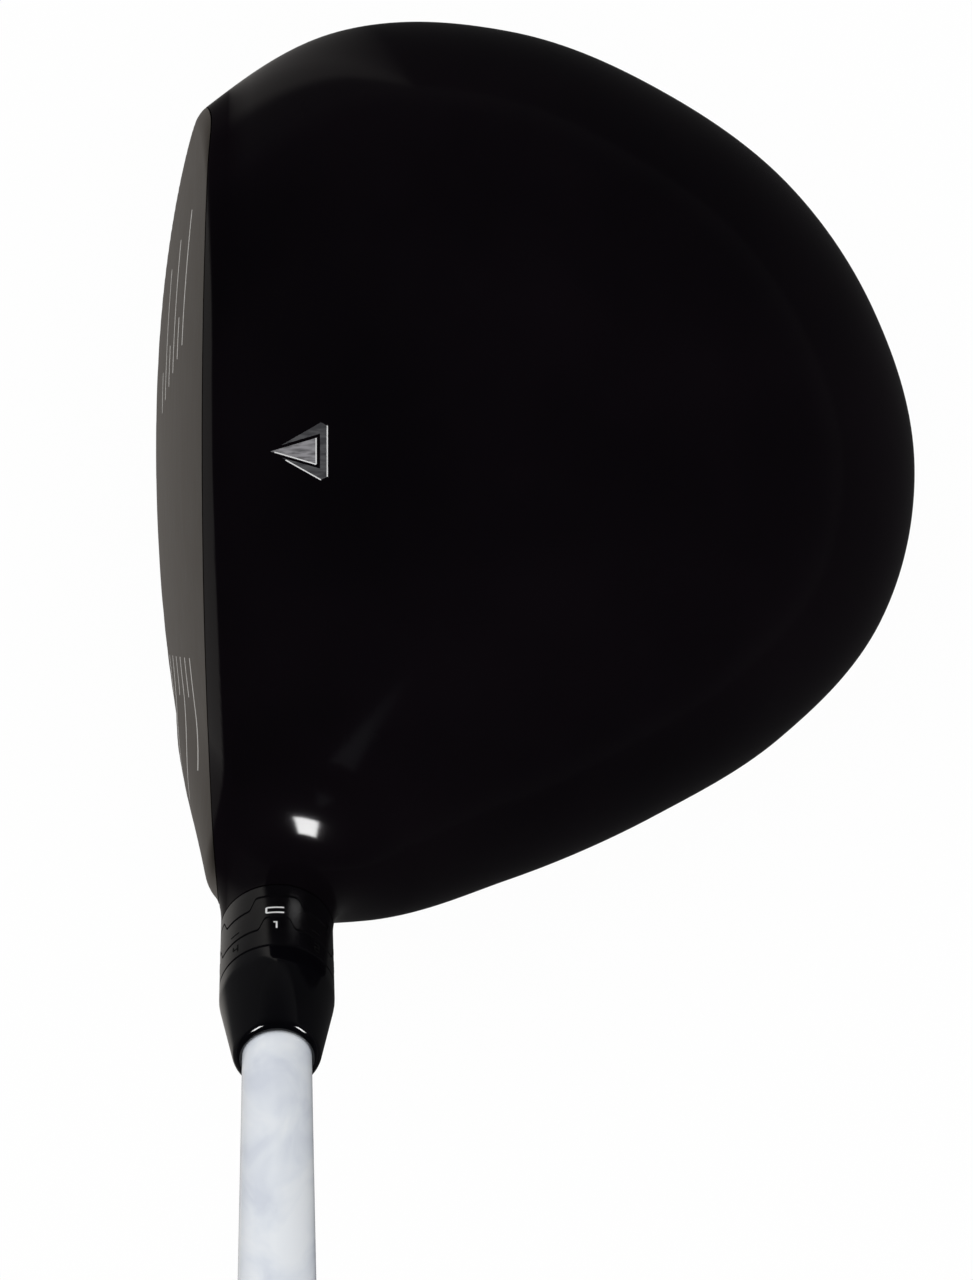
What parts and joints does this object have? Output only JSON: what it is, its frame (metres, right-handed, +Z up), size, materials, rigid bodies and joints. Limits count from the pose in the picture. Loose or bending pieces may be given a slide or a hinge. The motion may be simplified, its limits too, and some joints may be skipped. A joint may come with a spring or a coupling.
{
  "type": "golf driver",
  "caption": "Right-handed golf driver with a hollow rounded head, lofted face, indexed adjustable hosel, tapered shaft and rubber grip.",
  "frame": {"origin": "lowest point of the sole, where the head rests on the ground at address", "axes": "+Z up; -Y out of the face towards the target; +X from the toe to the heel, the side the shaft rises on"},
  "size_m": [0.7119, 0.1069, 0.9862],
  "materials": {
    "casting": "gloss black paint over cast titanium",
    "face": "brushed titanium",
    "crown": "gloss black paint with clear coat",
    "hot_melt": "soft hot-melt pad",
    "weight": "machined",
    "seal": "matt",
    "screw": "machined",
    "washer": "machined",
    "retainer": "moulded",
    "ring": "black anodised, satin",
    "sleeve": "black anodised, satin",
    "ferrule": "polished black",
    "plug": "cork",
    "tip_weight": "turned",
    "shaft": "white pearl paint over carbon fibre",
    "tape": "paper-backed adhesive tape",
    "grip": "moulded, textured",
    "cap": "moulded"
  },
  "bodies": {
    "club": {"shaft": "shaft", "hosel_sleeve": "sleeve", "ferrule": "ferrule", "tip_plug": "plug", "tip_weight": "tip_weight", "grip_tape": "tape", "grip": "grip", "grip_cap": "cap"},
    "index_ring": {"hosel_ring": "ring"},
    "head": {"head_body": "casting", "hosel_tube": "casting", "face_plate": "face", "crown": "crown", "damping_pad": "hot_melt", "weight_seal": "seal", "screw_washer": "washer", "screw_retainer": "retainer"},
    "adaptor_screw": {"hosel_screw": "screw"},
    "back_weight": {"rear_weight": "weight"},
    "back_weight_screw": {"weight_screw": "screw"}
  },
  "joints": [
    {"name": "head_back_off", "type": "slide", "parent": "club", "child": "index_ring", "axis": [-0.5299, 0, -0.848], "range_m": [0, 0.008]},
    {"name": "head_pull_off", "type": "slide", "parent": "index_ring", "child": "head", "axis": [-0.5299, 0, -0.848], "range_m": [0, 0.04]},
    {"name": "hosel_screw_turn", "type": "hinge", "parent": "head", "child": "adaptor_screw", "pos_m": [0.0605, -0.032, 0.0507], "axis": [-0.5299, 0, -0.848], "range_deg": [0, 3600]},
    {"name": "weight_back_off", "type": "slide", "parent": "head", "child": "back_weight", "axis": [0, 0.4067, -0.9135], "range_m": [0, 0.0063]},
    {"name": "weight_screw_turn", "type": "hinge", "parent": "back_weight", "child": "back_weight_screw", "pos_m": [0, 0.038, 0.00656], "axis": [0, 0.4067, -0.9135], "range_deg": [0, 3240]}
  ],
  "couplings": [
    {"joint": "hosel_screw_turn", "follows": "head_back_off", "rad_per_m": 7854},
    {"joint": "weight_screw_turn", "follows": "weight_back_off", "rad_per_m": 8976}
  ]
}
